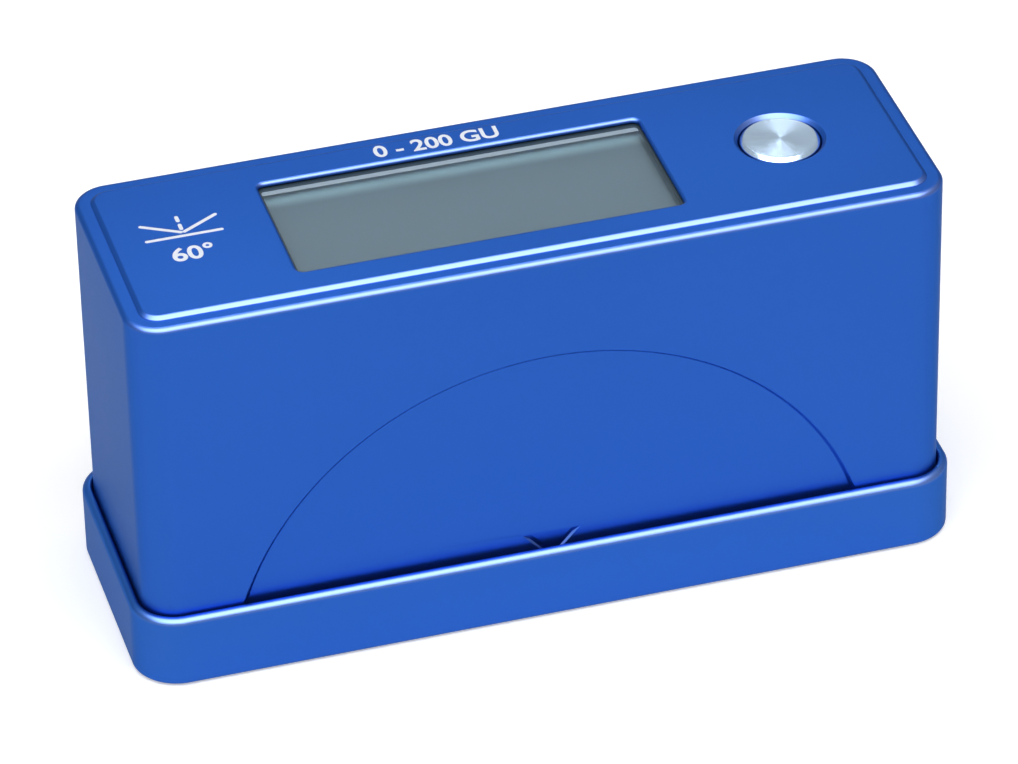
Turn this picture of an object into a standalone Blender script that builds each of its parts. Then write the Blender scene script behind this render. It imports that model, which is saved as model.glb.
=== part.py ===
"""Gloss meter standing in its calibration base, built in metres with +Z up.

Origin: on the floor under the middle of the base.  X runs along the length,
Y from the front face to the back, Z upwards.
"""
import math

import bmesh
import bpy
from mathutils import Matrix, Vector

MM = 0.001

# General fits
gap = 0.3 * MM
cut_over = 1.0 * MM
small_corner = 0.5 * MM
corner_steps = 8

# Calibration base
foot_proud = 0.3 * MM
foot_radius = 4.0 * MM
foot_recess = 0.9 * MM
foot_inset = 9.0 * MM
rim_height = 10.9 * MM
rim_outset = 1.6 * MM
rim_fillet = 0.9 * MM
rim_bottom_fillet = 0.4 * MM
seat_height = 4.7 * MM
tile_length = 34.0 * MM
tile_width = 18.0 * MM
tile_thickness = 2.0 * MM
tile_sink = 0.2 * MM
tile_chamfer = 0.3 * MM
cushion_thickness = 0.6 * MM
cushion_inset = 0.5 * MM

# Meter housing
body_length = 115.0 * MM
body_width = 37.0 * MM
body_corner = 5.0 * MM
body_top = 58.4 * MM
body_bottom_fillet = 0.5 * MM
ledge_width = 2.4 * MM
ledge_drop = 0.45 * MM
ledge_fillet = 0.7 * MM
plateau_fillet = 0.4 * MM
wall = 2.5 * MM
roof_thickness = 3.0 * MM
cavity_corner = 3.0 * MM

# Arc relief and centre mark on the front and back faces
arc_centre_height = -4.1 * MM
arc_radius = 46.5 * MM
arc_steps = 72
arc_depth_top = 0.3 * MM
arc_depth_bottom = 1.15 * MM
mark_half_width = 4.2 * MM
mark_top = 12.7 * MM
mark_rise = 4.6 * MM
mark_stroke = 0.7 * MM
mark_depth = 0.35 * MM

# Display window
window_left_margin = 24.7 * MM
window_to_button = 17.45 * MM
window_front_margin = 7.2 * MM
window_back_margin = 7.5 * MM
window_corner = 1.0 * MM
window_chamfer = 0.35 * MM
window_web = 0.65 * MM
lens_overlap = 2.0 * MM
lens_thickness = 1.5 * MM
lcd_thickness = 1.9 * MM
lcd_overlap = 1.6 * MM
backlight_thickness = 1.2 * MM
frame_wall = 1.3 * MM
frame_floor = 1.0 * MM

# Push button
button_from_end = 18.75 * MM
button_y = -0.5 * MM
button_radius = 5.5 * MM
button_proud = 0.2 * MM
button_edge = 0.6 * MM
button_flange_radius = 7.4 * MM
button_flange_thickness = 0.8 * MM
button_gap = 0.4 * MM
button_hole_fillet = 1.0 * MM
button_travel = 0.4 * MM
plunger_radius = 1.7 * MM
switch_size = 6.4 * MM
switch_height = 2.6 * MM
switch_floor = 0.3 * MM

# Circuit board
board_end_clearance = 0.4 * MM
board_side_clearance = 1.5 * MM
board_corner = 1.0 * MM
board_thickness = 1.6 * MM
board_hole_inset = 3.0 * MM
board_hole_side_inset = 2.5 * MM
board_boss_radius = 2.4 * MM
board_screw_radius = 1.0 * MM
board_screw_reach = 3.4 * MM
board_screw_head = 1.2 * MM
board_screw_round = 0.4 * MM
chip_size = 10.0 * MM
chip_thickness = 1.2 * MM
chip_taper = 0.2 * MM
chip_x = -12.0 * MM

# Bottom plate and its screws
plate_thickness = 2.5 * MM
post_radius = 4.2 * MM
post_inset = 6.3 * MM
post_side_inset = 6.3 * MM
plate_screw_radius = 1.5 * MM
plate_screw_length = 9.0 * MM
screw_head_ratio = 1.9
screw_socket_ratio = 0.75
screw_hole_play = 0.3 * MM
screw_tip_room = 0.5 * MM

# Optics at sixty degrees from the surface normal
optics_angle = math.radians(60.0)
optics_width = 11.6 * MM
arm_half_height = 7.0 * MM
arm_end_clearance = 1.1 * MM
bore_radius = 4.5 * MM
throat_radius = 3.4 * MM
throat_start = 3.0 * MM
lens_to_stop = 13.0 * MM
optic_lens_thickness = 3.0 * MM
lens_bulge = 0.9 * MM
stop_thickness = 0.8 * MM
stop_hole = 0.8 * MM
emitter_room = 8.5 * MM
lamp_radius = 2.5 * MM
lamp_flange_radius = 3.0 * MM
lamp_flange = 1.0 * MM
lamp_dome = 2.5 * MM
sensor_radius = 3.4 * MM
sensor_setback = 2.0 * MM
arm_board_length = 13.0 * MM
block_foot = 25.0 * MM
block_crown = 16.7 * MM
block_screw_x = 21.5 * MM
block_screw_radius = 1.25 * MM
block_screw_length = 5.2 * MM
aperture_length = 20.0 * MM
aperture_width = 8.6 * MM
aperture_corner = 4.2 * MM
aperture_flare = 0.8 * MM
well_inset = 0.5 * MM
well_corner = 3.6 * MM
well_taper = 2.6 * MM
well_height = 3.2 * MM

# Battery
cell_radius = 5.25 * MM
cell_length = 43.5 * MM
cell_edge = 0.5 * MM
cell_nub_radius = 1.9 * MM
cell_nub_length = 1.0 * MM
cell_wall_clearance = 1.75 * MM
cell_block_clearance = 0.95 * MM
bay_end_clearance = 0.6 * MM
contact_spring_length = 3.4 * MM
contact_wire = 0.35 * MM
contact_turns = 3.5
spring_small_radius = 1.9 * MM
spring_large_radius = 3.8 * MM
contact_plate_size = 8.0 * MM
contact_plate_thickness = 0.4 * MM
contact_edge = 0.1 * MM
end_block_thickness = 2.4 * MM
hatch_margin = 0.45 * MM
hatch_corner = 1.0 * MM
hatch_side_step = 0.1 * MM
door_thickness = 1.2 * MM
door_lip = 1.5 * MM
groove_radius = 2.2 * MM
groove_length = 8.0 * MM
groove_inset = 3.0 * MM
groove_depth = 0.6 * MM

# Levels that follow from the sizes above
tray_bottom = foot_proud
seat_level = tray_bottom + seat_height
rim_level = tray_bottom + rim_height
meter_bottom = seat_level + gap
plateau_level = tray_bottom + body_top
ledge_level = plateau_level - ledge_drop
roof_level = plateau_level - roof_thickness
plate_level = meter_bottom + plate_thickness
inside_floor = plate_level + gap
lens_top = plateau_level - window_web - gap
lens_bottom = lens_top - lens_thickness
lcd_top = roof_level - gap
lcd_bottom = lcd_top - lcd_thickness
backlight_top = lcd_bottom - gap
backlight_bottom = backlight_top - backlight_thickness
frame_bottom = backlight_bottom - gap - frame_floor
board_top = frame_bottom - gap
board_bottom = board_top - board_thickness
button_top = plateau_level + button_proud
flange_top = roof_level - gap
flange_bottom = flange_top - button_flange_thickness
switch_bottom = board_top + gap
switch_top = switch_bottom + switch_height
cell_z = inside_floor + gap + cell_radius

# Lengths and places that follow from the sizes above
tray_length = body_length + 2 * rim_outset
tray_width = body_width + 2 * rim_outset
tray_corner = body_corner + rim_outset
cavity_length = body_length - 2 * wall
cavity_width = body_width - 2 * wall
front_face = -body_width / 2
button_x = body_length / 2 - button_from_end
window_start = -body_length / 2 + window_left_margin
window_end = button_x - window_to_button
window_length = window_end - window_start
window_x = (window_start + window_end) / 2
window_width = body_width - window_front_margin - window_back_margin
window_y = (window_front_margin - window_back_margin) / 2
post_x = body_length / 2 - post_inset
post_y = body_width / 2 - post_side_inset
post_face = post_x - post_radius
board_length = 2 * (post_face - board_end_clearance)
board_width = cavity_width - 2 * board_side_clearance
board_boss_x = board_length / 2 - board_hole_inset
board_boss_y = board_width / 2 - board_hole_side_inset
cell_y = cavity_width / 2 - cell_wall_clearance - cell_radius
optics_y = cell_y - cell_radius - cell_block_clearance - optics_width / 2
arm_board_reach = arm_board_length / 2 * math.cos(optics_angle)
arm_reach = (post_face - arm_end_clearance - arm_board_reach) / math.sin(optics_angle)
arm_length = arm_reach - gap - board_thickness
stop_distance = arm_length - emitter_room
lens_distance = stop_distance - lens_to_stop
bore_start = lens_distance - optic_lens_thickness / 2 - gap
spring_end = post_face - bay_end_clearance - end_block_thickness - gap
cell_x = spring_end - contact_spring_length - gap - cell_length - cell_nub_length


# Scene and mesh helpers

def clear_scene():
    for obj in list(bpy.data.objects):
        bpy.data.objects.remove(obj, do_unlink=True)
    for mesh in list(bpy.data.meshes):
        bpy.data.meshes.remove(mesh)


def collection(name):
    made = bpy.data.collections.new(name)
    bpy.context.scene.collection.children.link(made)
    return made


def material(name, colour, roughness, metallic=0.0, transmission=0.0):
    made = bpy.data.materials.new(name)
    made.use_nodes = True
    shader = made.node_tree.nodes["Principled BSDF"]
    shader.inputs["Base Color"].default_value = (*colour, 1.0)
    shader.inputs["Roughness"].default_value = roughness
    shader.inputs["Metallic"].default_value = metallic
    shader.inputs["Transmission Weight"].default_value = transmission
    made.diffuse_color = (*colour, 1.0)
    return made


def new_object(name, mesh, look, home):
    obj = bpy.data.objects.new(name, mesh)
    home.objects.link(obj)
    if look is not None:
        mesh.materials.append(look)
    return obj


def mesh_from(name, points, faces):
    mesh = bpy.data.meshes.new(name)
    mesh.from_pydata([tuple(p) for p in points], [], faces)
    shape = bmesh.new()
    shape.from_mesh(mesh)
    bmesh.ops.recalc_face_normals(shape, faces=shape.faces)
    shape.to_mesh(mesh)
    shape.free()
    return mesh


def loft(name, rings, look, home):
    """Closed body through rings of equally many points, with flat end caps."""
    count = len(rings[0])
    points = [p for ring in rings for p in ring]
    faces = [tuple(range(count))]
    for level in range(len(rings) - 1):
        low = level * count
        high = low + count
        for i in range(count):
            j = (i + 1) % count
            faces.append((low + i, low + j, high + j, high + i))
    last = (len(rings) - 1) * count
    faces.append(tuple(range(last, last + count)))
    return new_object(name, mesh_from(name, points, faces), look, home)


def rounded_outline(length, width, radius, steps=corner_steps):
    """Points round a rectangle with quarter-circle corners, anticlockwise."""
    outline = []
    for quarter, (sx, sy) in enumerate(((1, 1), (-1, 1), (-1, -1), (1, -1))):
        cx = sx * (length / 2 - radius)
        cy = sy * (width / 2 - radius)
        for i in range(steps + 1):
            angle = (quarter + i / steps) * math.pi / 2
            outline.append((cx + radius * math.cos(angle), cy + radius * math.sin(angle)))
    return outline


def layered_box(name, length, width, radius, layers, look, home, centre=(0.0, 0.0)):
    """Rounded box through (inset, height) layers, so edges can be filleted."""
    rings = []
    for inset, height in layers:
        outline = rounded_outline(length - 2 * inset, width - 2 * inset, radius - inset)
        rings.append([(centre[0] + x, centre[1] + y, height) for x, y in outline])
    return loft(name, rings, look, home)


def fillet_up(radius, level, steps=4, inset=0.0):
    """Layers that round an upper edge ending at a level."""
    layers = []
    for i in range(steps + 1):
        angle = i / steps * math.pi / 2
        layers.append((inset + radius * (1 - math.cos(angle)), level - radius * (1 - math.sin(angle))))
    return layers


def fillet_down(radius, level, steps=3):
    """Layers that round a lower edge starting at a level."""
    layers = []
    for i in range(steps + 1):
        angle = (1 - i / steps) * math.pi / 2
        layers.append((radius * (1 - math.cos(angle)), level + radius * (1 - math.sin(angle))))
    return layers


def turned(name, profile, steps, look, home):
    """Solid of revolution round Z from (radius, height) points, top to bottom."""
    mesh = bpy.data.meshes.new(name)
    points = [(r, 0.0, z) for r, z in profile]
    edges = [(i, i + 1) for i in range(len(profile) - 1)]
    mesh.from_pydata(points, edges, [])
    obj = new_object(name, mesh, None, home)
    spin = obj.modifiers.new("Turn", "SCREW")
    spin.axis = "Z"
    spin.angle = 2 * math.pi
    spin.steps = steps
    spin.render_steps = steps
    spin.use_merge_vertices = True
    spin.merge_threshold = 0.00001
    apply_modifiers(obj)
    shape = bmesh.new()
    shape.from_mesh(obj.data)
    bmesh.ops.remove_doubles(shape, verts=shape.verts, dist=0.000002)
    bmesh.ops.recalc_face_normals(shape, faces=shape.faces)
    flat_centres = []
    for vert in shape.verts:
        on_axis = math.hypot(vert.co.x, vert.co.y) < 0.0000001
        if on_axis and all(abs(face.normal.z) > 0.99999 for face in vert.link_faces):
            flat_centres.append(vert)
    bmesh.ops.dissolve_verts(shape, verts=flat_centres)
    shape.to_mesh(obj.data)
    shape.free()
    if look is not None:
        obj.data.materials.clear()
        obj.data.materials.append(look)
    return obj


def apply_modifiers(obj):
    """Replace a mesh by its evaluated shape and drop the modifiers."""
    depsgraph = bpy.context.evaluated_depsgraph_get()
    shape = bpy.data.meshes.new_from_object(obj.evaluated_get(depsgraph))
    obj.modifiers.clear()
    old = obj.data
    obj.data = shape
    shape.name = obj.name
    bpy.data.meshes.remove(old)


def carry(obj, matrix):
    """Move a mesh's points by a matrix and leave its object unmoved."""
    obj.data.transform(matrix)
    return obj


def boolean(target, tool, operation):
    tool.hide_render = True
    tool.display_type = "WIRE"
    step = target.modifiers.new(tool.name, "BOOLEAN")
    step.operation = operation
    step.solver = "EXACT"
    step.object = tool


def cut(target, *tools):
    for tool in tools:
        boolean(target, tool, "DIFFERENCE")
    apply_modifiers(target)


def join(target, *tools):
    for tool in tools:
        boolean(target, tool, "UNION")
    apply_modifiers(target)


def set_origin(obj, point):
    """Put an object's origin at a point without moving its shape."""
    obj.data.transform(Matrix.Translation(-Vector(point)))
    obj.location = point


def along_arm(side):
    """Matrix from an upright piece at the origin to one optical arm."""
    tilt = Matrix.Rotation(side * optics_angle, 4, "Y")
    return Matrix.Translation((0.0, optics_y, meter_bottom)) @ tilt


clear_scene()
parts = collection("parts")
tools = collection("tools")

look_blue = material("blue_anodised", (0.028, 0.107, 0.515), 0.38, 0.75)
look_tray = material("tray_anodised", (0.032, 0.125, 0.56), 0.38, 0.75)
look_plate = material("plate_anodised", (0.020, 0.022, 0.026), 0.42, 0.75)
look_button = material("turned_aluminium", (0.78, 0.79, 0.81), 0.22, 1.0)
look_tile = material("black_glass", (0.004, 0.004, 0.005), 0.03)
look_cushion = material("tile_foam", (0.05, 0.05, 0.05), 0.95)
look_foot = material("foot_rubber", (0.02, 0.02, 0.02), 0.8)
look_lens = material("lens_acrylic", (0.86, 0.9, 0.9), 0.05, 0.0, 0.9)
look_lcd = material("lcd_glass", (0.156, 0.228, 0.266), 0.12)
look_backlight = material("backlight_acrylic", (0.8, 0.84, 0.86), 0.3)
look_frame = material("display_frame_plastic", (0.03, 0.03, 0.032), 0.5)
look_board = material("board_laminate", (0.01, 0.14, 0.06), 0.45)
look_chip = material("chip_resin", (0.015, 0.015, 0.016), 0.5)
look_switch = material("switch_plastic", (0.02, 0.02, 0.02), 0.45)
look_plunger = material("plunger_plastic", (0.55, 0.55, 0.53), 0.45)
look_block = material("optics_black_anodised", (0.012, 0.012, 0.013), 0.6, 0.6)
look_optic = material("optical_glass", (0.9, 0.93, 0.95), 0.02, 0.0, 0.95)
look_stop = material("stop_black", (0.01, 0.01, 0.01), 0.7)
look_emitter = material("emitter_epoxy", (0.85, 0.83, 0.7), 0.15)
look_sensor = material("sensor_ceramic", (0.25, 0.25, 0.27), 0.3)
look_screw = material("screw_steel", (0.55, 0.55, 0.56), 0.3, 1.0)
look_cell = material("cell_jacket", (0.12, 0.13, 0.14), 0.3, 0.2)
look_contact = material("contact_nickel", (0.72, 0.69, 0.62), 0.25, 1.0)
look_end_block = material("contact_block_plastic", (0.03, 0.03, 0.03), 0.5)
look_door = material("door_plastic", (0.022, 0.024, 0.027), 0.5)


# Calibration base

tray = layered_box(
    "base_tray", tray_length, tray_width, tray_corner,
    fillet_down(rim_bottom_fillet, tray_bottom) + fillet_up(rim_fillet, rim_level, 5),
    look_tray, parts)
seat_pocket = layered_box(
    "seat_pocket", body_length + 2 * gap, body_width + 2 * gap, body_corner + gap,
    [(0.0, seat_level), (0.0, rim_level + cut_over)], None, tools)
tile_top = seat_level - tile_sink
tile_bottom = tile_top - tile_thickness
cushion_top = tile_bottom - gap
cushion_bottom = cushion_top - cushion_thickness
tile_pocket = layered_box(
    "tile_pocket", tile_length + 2 * gap, tile_width + 2 * gap, tile_chamfer + gap,
    [(0.0, cushion_bottom - gap), (0.0, seat_level + cut_over)], None, tools, (0.0, optics_y))
foot_places = []
for sx in (-1, 1):
    for sy in (-1, 1):
        foot_places.append((sx * (tray_length / 2 - foot_inset), sy * (tray_width / 2 - foot_inset)))
foot_pockets = []
for index, (x, y) in enumerate(foot_places, 1):
    pocket = turned(
        "foot_pocket_%d" % index,
        [(0.0, tray_bottom + foot_recess), (foot_radius + gap, tray_bottom + foot_recess),
         (foot_radius + gap, tray_bottom - cut_over), (0.0, tray_bottom - cut_over)],
        24, None, tools)
    foot_pockets.append(carry(pocket, Matrix.Translation((x, y, 0.0))))
cut(tray, seat_pocket, tile_pocket, *foot_pockets)

tile = layered_box(
    "calibration_tile", tile_length, tile_width, tile_chamfer * 2,
    [(tile_chamfer, tile_bottom), (0.0, tile_bottom + tile_chamfer),
     (0.0, tile_top - tile_chamfer), (tile_chamfer, tile_top)],
    look_tile, parts, (0.0, optics_y))
set_origin(tile, (0.0, optics_y, tile_bottom))
cushion = layered_box(
    "tile_cushion", tile_length - 2 * cushion_inset, tile_width - 2 * cushion_inset, tile_chamfer,
    [(0.0, cushion_bottom), (0.0, cushion_top)], look_cushion, parts, (0.0, optics_y))
set_origin(cushion, (0.0, optics_y, cushion_bottom))
for index, (x, y) in enumerate(foot_places, 1):
    top = tray_bottom + foot_recess - gap
    foot = turned(
        "base_foot_%d" % index,
        [(0.0, top), (foot_radius, top), (foot_radius, foot_proud), (foot_radius - foot_proud, 0.0), (0.0, 0.0)],
        24, look_foot, parts)
    foot.location = (x, y, 0.0)


# Meter housing, milled from one block and open below

shell = layered_box(
    "body_shell", body_length, body_width, body_corner,
    fillet_down(body_bottom_fillet, meter_bottom) + fillet_up(ledge_fillet, ledge_level, 4)
    + fillet_up(plateau_fillet, plateau_level, 3, ledge_width),
    look_blue, parts)
cavity = layered_box(
    "cavity", cavity_length, cavity_width, cavity_corner,
    [(0.0, meter_bottom - cut_over), (0.0, roof_level)], None, tools)
lens_pocket = layered_box(
    "lens_pocket", window_length + 2 * (lens_overlap + gap), window_width + 2 * (lens_overlap + gap),
    window_corner + gap, [(0.0, roof_level - cut_over), (0.0, plateau_level - window_web)],
    None, tools, (window_x, window_y))
window = layered_box(
    "window", window_length, window_width, window_corner,
    [(0.0, roof_level), (0.0, plateau_level - window_chamfer),
     (-window_chamfer - cut_over, plateau_level + cut_over)],
    None, tools, (window_x, window_y))
hole_radius = button_radius + button_gap
hole_profile = [(0.0, plateau_level + cut_over), (hole_radius + button_hole_fillet, plateau_level + cut_over)]
for i in range(7):
    turn = i / 6 * math.pi / 2
    hole_profile.append((hole_radius + button_hole_fillet * (1 - math.sin(turn)),
                         plateau_level - button_hole_fillet * (1 - math.cos(turn))))
hole_profile += [(hole_radius, roof_level - cut_over), (0.0, roof_level - cut_over)]
button_hole = turned("button_hole", hole_profile, 48, None, tools)
carry(button_hole, Matrix.Translation((button_x, button_y, 0.0)))
cut(shell, cavity, lens_pocket, window, button_hole)


# Corner posts and board bosses stand inside the housing

columns = []
for sx in (-1, 1):
    for sy in (-1, 1):
        post = turned(
            "corner_post", [(0.0, roof_level + cut_over), (post_radius, roof_level + cut_over),
                            (post_radius, inside_floor), (0.0, inside_floor)], 24, None, tools)
        columns.append(carry(post, Matrix.Translation((sx * post_x, sy * post_y, 0.0))))
        boss = turned(
            "board_boss", [(0.0, roof_level + cut_over), (board_boss_radius, roof_level + cut_over),
                           (board_boss_radius, board_top + gap), (0.0, board_top + gap)], 16, None, tools)
        columns.append(carry(boss, Matrix.Translation((sx * board_boss_x, sy * board_boss_y, 0.0))))
join(shell, *columns)

holes = []
for sx in (-1, 1):
    for sy in (-1, 1):
        radius = plate_screw_radius + screw_hole_play
        top = meter_bottom + plate_screw_length + screw_tip_room
        hole = turned(
            "post_hole", [(0.0, top), (radius, top), (radius, inside_floor - cut_over),
                          (0.0, inside_floor - cut_over)], 16, None, tools)
        holes.append(carry(hole, Matrix.Translation((sx * post_x, sy * post_y, 0.0))))
        radius = board_screw_radius + screw_hole_play
        hole = turned(
            "boss_hole", [(0.0, roof_level - gap), (radius, roof_level - gap), (radius, board_top),
                          (0.0, board_top)], 12, None, tools)
        holes.append(carry(hole, Matrix.Translation((sx * board_boss_x, sy * board_boss_y, 0.0))))
cut(shell, *holes)


# Arc relief: its floor leans inwards towards the bottom edge

arc_top = tray_bottom + arc_centre_height + arc_radius


def arc_depth(height):
    share = (arc_top - height) / (arc_top - rim_level)
    return arc_depth_top + (arc_depth_bottom - arc_depth_top) * share


def arc_outline(outward):
    """Arc points from right to left, closed below the housing.

    Outside the face the arc is wider by the distance out, and on the floor
    it is narrower by the depth, so the wall between them slopes at 45 degrees.
    """
    ring = []
    centre = tray_bottom + arc_centre_height
    first = math.asin((meter_bottom - 2 * cut_over - centre) / arc_radius)
    for i in range(arc_steps + 1):
        angle = first + (math.pi - 2 * first) * i / arc_steps
        depth = arc_depth(centre + arc_radius * math.sin(angle))
        radius = arc_radius + outward if outward else arc_radius - depth
        x = radius * math.cos(angle)
        z = centre + radius * math.sin(angle)
        y = -outward if outward else arc_depth(z)
        ring.append((x, front_face + y, z))
    return ring


def arc_cutter(name):
    return loft(name, [arc_outline(cut_over), arc_outline(0.0)], None, tools)


def mark_cutter(name):
    """Chevron that points at the measuring spot."""
    top = tray_bottom + mark_top
    slant = mark_stroke * math.hypot(mark_half_width, mark_rise) / mark_half_width
    inner = mark_half_width * (1 - slant / mark_rise)
    outline = [(-mark_half_width, top), (-inner, top), (0.0, top - mark_rise + slant),
               (inner, top), (mark_half_width, top), (0.0, top - mark_rise)]
    rings = []
    for y in (front_face - cut_over, front_face + arc_depth(top - mark_rise / 2) + mark_depth):
        rings.append([(x, y, z) for x, z in outline])
    return loft(name, rings, None, tools)


to_back = Matrix.Rotation(math.pi, 4, "Z")
cut(shell, arc_cutter("arc_front"), carry(arc_cutter("arc_back"), to_back))
cut(shell, mark_cutter("mark_front"), carry(mark_cutter("mark_back"), to_back))
set_origin(shell, (0.0, 0.0, meter_bottom))


# Fasteners

def countersunk_profile(radius, length, grow=0.0):
    head = radius * screw_head_ratio + grow
    body = radius + grow
    return [(0.0, length), (body, length), (body, head - body), (head, 0.0), (0.0, 0.0)]


def countersunk_screw(name, radius, length, x, y, level):
    """Screw that stands head down in a countersunk hole, with a hex socket."""
    screw = turned(name, countersunk_profile(radius, length), 16, look_screw, parts)
    socket = turned(
        name + "_socket", [(0.0, radius), (radius * screw_socket_ratio, radius),
                           (radius * screw_socket_ratio, -cut_over), (0.0, -cut_over)],
        6, None, tools)
    cut(screw, socket)
    screw.location = (x, y, level)
    return screw


# Bottom plate with the measuring aperture and the battery hatch

plate = layered_box(
    "bottom_plate", cavity_length - 2 * gap, cavity_width - 2 * gap, cavity_corner - gap,
    [(0.0, meter_bottom), (0.0, plate_level)], look_plate, parts)
aperture = layered_box(
    "aperture", aperture_length, aperture_width, aperture_corner,
    [(-aperture_flare - cut_over, meter_bottom - cut_over), (0.0, meter_bottom + aperture_flare),
     (0.0, plate_level + cut_over)], None, tools, (0.0, optics_y))
hatch_start = cell_x - gap - contact_plate_thickness - hatch_margin
hatch_end = spring_end + hatch_margin
hatch_length = hatch_end - hatch_start
hatch_width = 2 * (cell_radius + hatch_margin)
hatch_centre = ((hatch_start + hatch_end) / 2, cell_y)
rebate_width = hatch_width - 2 * hatch_side_step
hatch = layered_box(
    "hatch", hatch_length, hatch_width, hatch_corner,
    [(0.0, meter_bottom - cut_over), (0.0, plate_level + cut_over)], None, tools, hatch_centre)
hatch_rebate = layered_box(
    "hatch_rebate", hatch_length + 2 * door_lip, rebate_width, hatch_corner,
    [(0.0, meter_bottom - cut_over), (0.0, meter_bottom + door_thickness + gap)], None, tools, hatch_centre)
plate_holes = []
screw_places = [(sx * post_x, sy * post_y) for sx in (-1, 1) for sy in (-1, 1)]
block_screw_places = [(sx * block_screw_x, optics_y) for sx in (-1, 1)]
for radius, places in ((plate_screw_radius, screw_places), (block_screw_radius, block_screw_places)):
    for x, y in places:
        head = radius * screw_head_ratio + screw_hole_play
        body = radius + screw_hole_play
        hole = turned(
            "plate_hole", [(0.0, plate_thickness + cut_over), (body, plate_thickness + cut_over),
                           (body, head - body), (head + cut_over, -cut_over), (0.0, -cut_over)],
            16, None, tools)
        plate_holes.append(carry(hole, Matrix.Translation((x, y, meter_bottom))))
cut(plate, aperture, hatch, hatch_rebate, *plate_holes)
set_origin(plate, (0.0, 0.0, meter_bottom))

for index, (x, y) in enumerate(screw_places, 1):
    countersunk_screw("bottom_screw_%d" % index, plate_screw_radius, plate_screw_length, x, y, meter_bottom)
for index, (x, y) in enumerate(block_screw_places, 1):
    countersunk_screw("block_screw_%d" % index, block_screw_radius, block_screw_length, x, y, meter_bottom)

door = layered_box(
    "battery_door", hatch_length + 2 * (door_lip - gap), rebate_width - 2 * gap, hatch_corner - gap,
    [(0.0, meter_bottom), (0.0, meter_bottom + door_thickness)], look_door, parts, hatch_centre)
nail_groove = turned(
    "nail_groove", [(0.0, groove_length / 2), (groove_radius, groove_length / 2),
                    (groove_radius, -groove_length / 2), (0.0, -groove_length / 2)], 20, None, tools)
groove_at = (hatch_end - groove_inset, cell_y, meter_bottom + groove_depth - groove_radius)
carry(nail_groove, Matrix.Translation(groove_at) @ Matrix.Rotation(math.pi / 2, 4, "X"))
cut(door, nail_groove)
set_origin(door, (hatch_centre[0], cell_y, meter_bottom))


# Battery and its contacts

cell = turned(
    "battery_cell",
    [(0.0, cell_nub_length), (cell_nub_radius, cell_nub_length), (cell_nub_radius, 0.0),
     (cell_radius - cell_edge, 0.0), (cell_radius, -cell_edge), (cell_radius, -cell_length + cell_edge),
     (cell_radius - cell_edge, -cell_length), (0.0, -cell_length)],
    24, look_cell, parts)
nub_at = Matrix.Translation((cell_x + cell_nub_length, cell_y, cell_z)) @ Matrix.Rotation(-math.pi / 2, 4, "Y")
carry(cell, nub_at)
set_origin(cell, (cell_x + cell_length / 2, cell_y, cell_z))


def end_block(name, x_low):
    block = layered_box(
        name, end_block_thickness, rebate_width - gap, small_corner,
        [(0.0, inside_floor), (0.0, cell_z + cell_radius)], look_end_block, parts,
        (x_low + end_block_thickness / 2, cell_y))
    set_origin(block, (x_low + end_block_thickness / 2, cell_y, inside_floor))
    return block


plate_x = cell_x - gap - contact_plate_thickness
end_block("contact_block_front", plate_x - gap - end_block_thickness)
contact = layered_box(
    "contact_plate", contact_plate_thickness, contact_plate_size, contact_edge,
    [(0.0, cell_z - contact_plate_size / 2), (0.0, cell_z + contact_plate_size / 2)], look_contact, parts,
    (plate_x + contact_plate_thickness / 2, cell_y))
set_origin(contact, (plate_x + contact_plate_thickness / 2, cell_y, cell_z))

spring_low = spring_end - contact_spring_length
end_block("contact_block_rear", spring_end + gap)
route = bpy.data.curves.new("contact_spring", "CURVE")
route.dimensions = "3D"
route.bevel_depth = contact_wire
route.bevel_resolution = 1
route.use_fill_caps = True
turns = route.splines.new("POLY")
coil_points = int(contact_turns * 12) + 1
turns.points.add(coil_points - 1)
for i in range(coil_points):
    share = i / (coil_points - 1)
    angle = share * contact_turns * 2 * math.pi
    radius = spring_small_radius + (spring_large_radius - spring_small_radius) * share
    along = contact_wire + (contact_spring_length - 2 * contact_wire) * share
    turns.points[i].co = (spring_low + along, cell_y + radius * math.cos(angle),
                          cell_z + radius * math.sin(angle), 1.0)
coil = bpy.data.objects.new("contact_spring_route", route)
tools.objects.link(coil)
coil_mesh = bpy.data.meshes.new_from_object(coil.evaluated_get(bpy.context.evaluated_depsgraph_get()))
coil.hide_render = True
coil_mesh.materials.clear()
spring = new_object("contact_spring", coil_mesh, look_contact, parts)
set_origin(spring, (spring_low + contact_spring_length / 2, cell_y, cell_z))


# Optics block with one inclined bore on each side

def block_outline():
    """Front outline of the block: foot, two arms square to their axes, crown."""
    along = Vector((math.sin(optics_angle), math.cos(optics_angle)))
    across = Vector((-math.cos(optics_angle), math.sin(optics_angle)))
    rise = along.y / along.x
    offset = arm_half_height / along.x
    foot_meet = meter_bottom + block_foot * rise - offset
    low_end = along * arm_length - across * arm_half_height
    high_end = along * arm_length + across * arm_half_height
    crown_z = meter_bottom + block_crown
    crown_x = (block_crown - offset) / rise
    right = [(block_foot, inside_floor), (block_foot, foot_meet),
             (low_end.x, meter_bottom + low_end.y), (high_end.x, meter_bottom + high_end.y),
             (crown_x, crown_z)]
    left = [(-x, z) for x, z in reversed(right)]
    return right + left


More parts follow.
